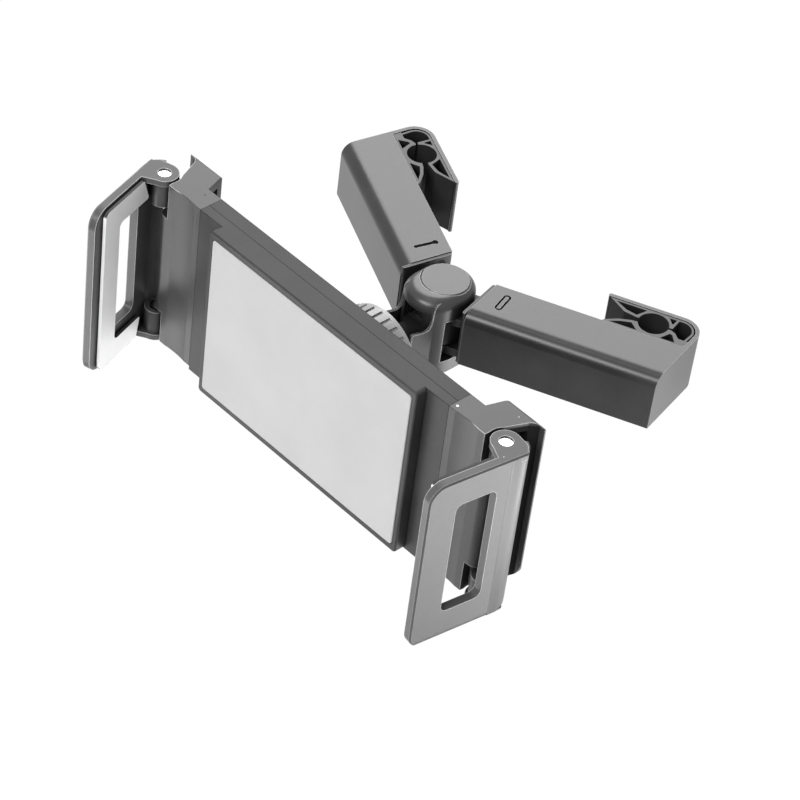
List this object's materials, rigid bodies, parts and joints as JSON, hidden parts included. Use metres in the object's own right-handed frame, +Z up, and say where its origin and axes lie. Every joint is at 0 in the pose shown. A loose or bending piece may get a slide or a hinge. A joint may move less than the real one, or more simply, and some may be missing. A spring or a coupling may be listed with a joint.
{
  "type": "headrest tablet mount",
  "caption": "Folding bracket that hooks behind the two posts of a car headrest and holds a tablet in a spring-loaded cradle on a ball joint.",
  "frame": {"origin": "middle of the left post's clamp, halfway up the arm", "axes": "+X along the cradle from the left post to the right post, +Y from the tablet back to the headrest, +Z up"},
  "size_m": [0.237, 0.1877, 0.092],
  "materials": {
    "charcoal_plastic": "fine satin texture",
    "dark_plastic": "satin",
    "light_pad": "soft matt rubber",
    "grip_rubber": "soft matt rubber with worn light edges",
    "nut_plastic": "fluted satin",
    "acetal": "smooth, low friction",
    "steel": "bright turned steel",
    "spring_steel": "blued spring steel"
  },
  "bodies": {
    "left_arm": {"left_arm": "charcoal_plastic", "left_knuckle": "dark_plastic", "left_post_grip": "grip_rubber", "left_arm_screws": "steel"},
    "yoke": {"yoke_housing": "charcoal_plastic", "hub_cap": "charcoal_plastic", "hub_bolt": "steel", "hub_nut": "steel", "friction_washers": "acetal", "spring_washer": "spring_steel", "ball_stud": "charcoal_plastic"},
    "right_arm": {"right_arm": "charcoal_plastic", "right_knuckle": "dark_plastic", "right_post_grip": "grip_rubber", "right_arm_screws": "steel"},
    "rear_seat": {"rear_seat": "acetal"},
    "front_seat": {"front_seat": "acetal"},
    "cradle": {"front_shell": "charcoal_plastic", "back_shell": "charcoal_plastic", "front_pad": "light_pad", "shell_screws": "steel", "pinion_screw": "steel", "return_spring": "spring_steel"},
    "ring_nut": {"ring_nut": "nut_plastic"},
    "pinion": {"pinion": "acetal"},
    "left_slider": {"left_slider": "charcoal_plastic", "left_claw_pins": "steel"},
    "right_slider": {"right_slider": "charcoal_plastic", "right_claw_pins": "steel"},
    "left_claw": {"left_claw": "charcoal_plastic", "left_claw_pad": "light_pad"},
    "right_claw": {"right_claw": "charcoal_plastic", "right_claw_pad": "light_pad"}
  },
  "joints": [
    {"name": "left_arm_fold", "type": "hinge", "parent": "left_arm", "child": "yoke", "pos_m": [0.07414, -0.05586, -0.00565], "axis": [0, 0, 1], "range_deg": [-13, 37]},
    {"name": "right_arm_fold", "type": "hinge", "parent": "yoke", "child": "right_arm", "pos_m": [0.07414, -0.05586, -0.00565], "axis": [0, 0, 1], "range_deg": [-13, 37]},
    {"name": "ball_pitch", "type": "hinge", "parent": "yoke", "child": "rear_seat", "pos_m": [0.07414, -0.10017, -0.00565], "axis": [1, 0, 0], "range_deg": [-15, 15]},
    {"name": "ball_yaw", "type": "hinge", "parent": "rear_seat", "child": "front_seat", "pos_m": [0.07414, -0.10017, -0.00565], "axis": [0, 0, 1], "range_deg": [-15, 15]},
    {"name": "ball_spin", "type": "hinge", "parent": "front_seat", "child": "cradle", "pos_m": [0.07414, -0.10017, -0.00565], "axis": [0, 1, 0], "continuous": true},
    {"name": "ring_nut_turn", "type": "hinge", "parent": "cradle", "child": "ring_nut", "pos_m": [0.07414, -0.10017, -0.00565], "axis": [0, 1, 0], "range_deg": [0, 90]},
    {"name": "left_slide", "type": "slide", "parent": "cradle", "child": "left_slider", "axis": [-1, 0, 0], "range_m": [0, 0.03], "stiffness_N_per_m": 150, "springref_m": -0.05},
    {"name": "right_slide", "type": "slide", "parent": "cradle", "child": "right_slider", "axis": [1, 0, 0], "range_m": [0, 0.03]},
    {"name": "pinion_spin", "type": "hinge", "parent": "cradle", "child": "pinion", "pos_m": [0.07414, -0.12717, -0.00565], "axis": [0, 1, 0], "range_deg": [-191.2, 0]},
    {"name": "left_claw_fold", "type": "hinge", "parent": "left_slider", "child": "left_claw", "pos_m": [-0.03316, -0.12796, -0.00565], "axis": [0, 0, 1], "range_deg": [-17, 63]},
    {"name": "right_claw_fold", "type": "hinge", "parent": "right_slider", "child": "right_claw", "pos_m": [0.18144, -0.12796, -0.00565], "axis": [0, 0, 1], "range_deg": [-71, 9]}
  ],
  "couplings": [
    {"joint": "right_slide", "follows": "left_slide", "ratio": 1},
    {"joint": "pinion_spin", "follows": "left_slide", "rad_per_m": -111.11}
  ]
}
